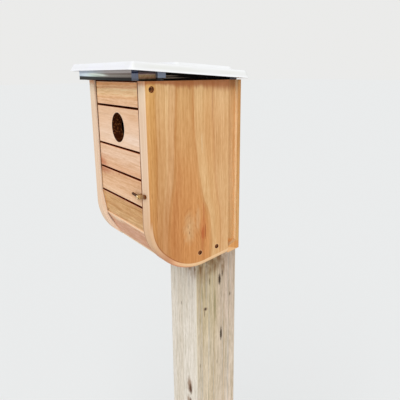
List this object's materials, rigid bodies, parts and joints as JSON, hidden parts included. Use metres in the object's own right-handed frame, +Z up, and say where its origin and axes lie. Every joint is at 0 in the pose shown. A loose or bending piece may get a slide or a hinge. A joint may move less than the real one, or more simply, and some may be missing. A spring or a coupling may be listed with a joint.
{
  "type": "bluebird nest box on a post",
  "caption": "Cedar bluebird nest box with a round lower front, a swing-up slatted door with entrance hole and turn button, a shallow white roof on rails, on a square post.",
  "frame": {"origin": "centre of the post's foot at ground level", "axes": "+Z up, -Y out of the house's front with the entrance, +X to the right seen from the front"},
  "size_m": [0.199, 0.2018, 1.3019],
  "materials": {
    "cedar_sides": "bare cedar, planed",
    "cedar_front": "bare cedar, planed",
    "cedar_lower": "bare cedar, planed",
    "post_wood": "bare, weathered",
    "white_shell": "satin white",
    "rail_metal": "bright mill",
    "spacer_plastic": "matt",
    "brass_fittings": "tarnished",
    "screw_steel": "dull"
  },
  "bodies": {
    "house": {"side_left": "cedar_sides", "side_right": "cedar_sides", "back_board": "cedar_sides", "floor_board": "cedar_sides", "roof_batten": "cedar_lower", "roof_liner": "cedar_lower", "lower_front_board": "cedar_lower", "sloping_front_board": "cedar_front", "post": "post_wood", "post_screw_upper": "screw_steel", "post_screw_lower": "screw_steel", "pivot_screw_left": "screw_steel", "pivot_screw_right": "screw_steel", "roof_shell": "white_shell", "roof_rail_front": "rail_metal", "roof_rail_middle": "rail_metal", "roof_rail_rear": "rail_metal", "rail_spacer_left": "spacer_plastic", "rail_spacer_right": "spacer_plastic", "floor_screw_left_front": "screw_steel", "floor_screw_left_rear": "screw_steel", "roof_screw_middle_left": "screw_steel", "roof_screw_rear_left": "screw_steel", "floor_screw_right_front": "screw_steel", "floor_screw_right_rear": "screw_steel", "roof_screw_middle_right": "screw_steel", "roof_screw_rear_right": "screw_steel"},
    "door": {"door_board_top": "cedar_front", "door_board_entrance": "cedar_front", "door_board_third": "cedar_front", "door_board_fourth": "cedar_front", "door_batten_left": "cedar_lower", "door_batten_right": "cedar_lower", "turn_button_screw": "brass_fittings"},
    "button": {"turn_button": "brass_fittings"}
  },
  "joints": [
    {"name": "door_pivot", "type": "hinge", "parent": "house", "child": "door", "pos_m": [0, -0.1268, 1.2707], "axis": [-1, 0, 0], "range_deg": [0, 90]},
    {"name": "turn_button_pivot", "type": "hinge", "parent": "door", "child": "button", "pos_m": [0.061, -0.1368, 1.1397], "axis": [0, -1, 0], "range_deg": [-90, 90]}
  ]
}
